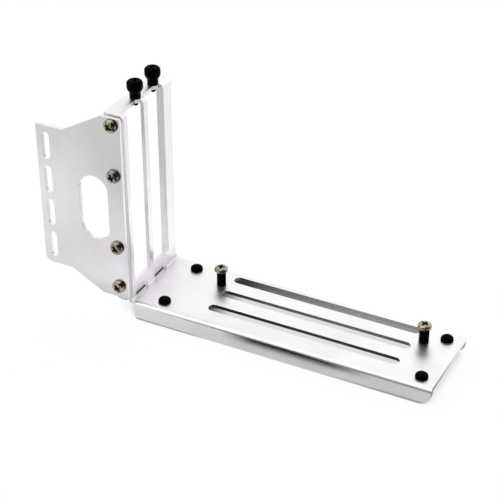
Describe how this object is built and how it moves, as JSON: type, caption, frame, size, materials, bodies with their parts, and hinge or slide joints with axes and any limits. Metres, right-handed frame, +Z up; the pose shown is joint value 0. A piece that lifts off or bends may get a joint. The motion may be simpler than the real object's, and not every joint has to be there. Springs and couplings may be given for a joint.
{
  "type": "vertical gpu mount",
  "caption": "L-shaped folded aluminium bracket with a slotted side plate, card windows, thumb screws and riser posts, which holds a graphics card upright in a computer case.",
  "frame": {"origin": "middle of the mount's footprint, at the height of the floor that its feet stand on", "axes": "+X along the base, away from the card windows; +Z up; -Y out of the slotted side plate"},
  "size_m": [0.2278, 0.0568, 0.1332],
  "materials": {
    "aluminium_sheet": "brushed",
    "nickel_screw": "polished nickel",
    "black_screw": "satin black",
    "black_post": "satin black",
    "black_rubber": "matte"
  },
  "bodies": {
    "root": {"main_bracket": "aluminium_sheet", "riser_post_left": "black_post", "riser_post_right": "black_post", "riser_screw_left": "nickel_screw", "riser_screw_right": "nickel_screw", "rubber_foot_back_left": "black_rubber", "rubber_foot_back_right": "black_rubber", "rubber_foot_front_left": "black_rubber", "rubber_foot_front_right": "black_rubber", "side_plate": "aluminium_sheet", "side_screw_bottom": "nickel_screw", "side_screw_lower": "nickel_screw", "side_screw_top": "nickel_screw", "side_screw_upper": "nickel_screw", "thumb_screw_back": "black_screw", "thumb_screw_front": "black_screw"}
  },
  "joints": []
}
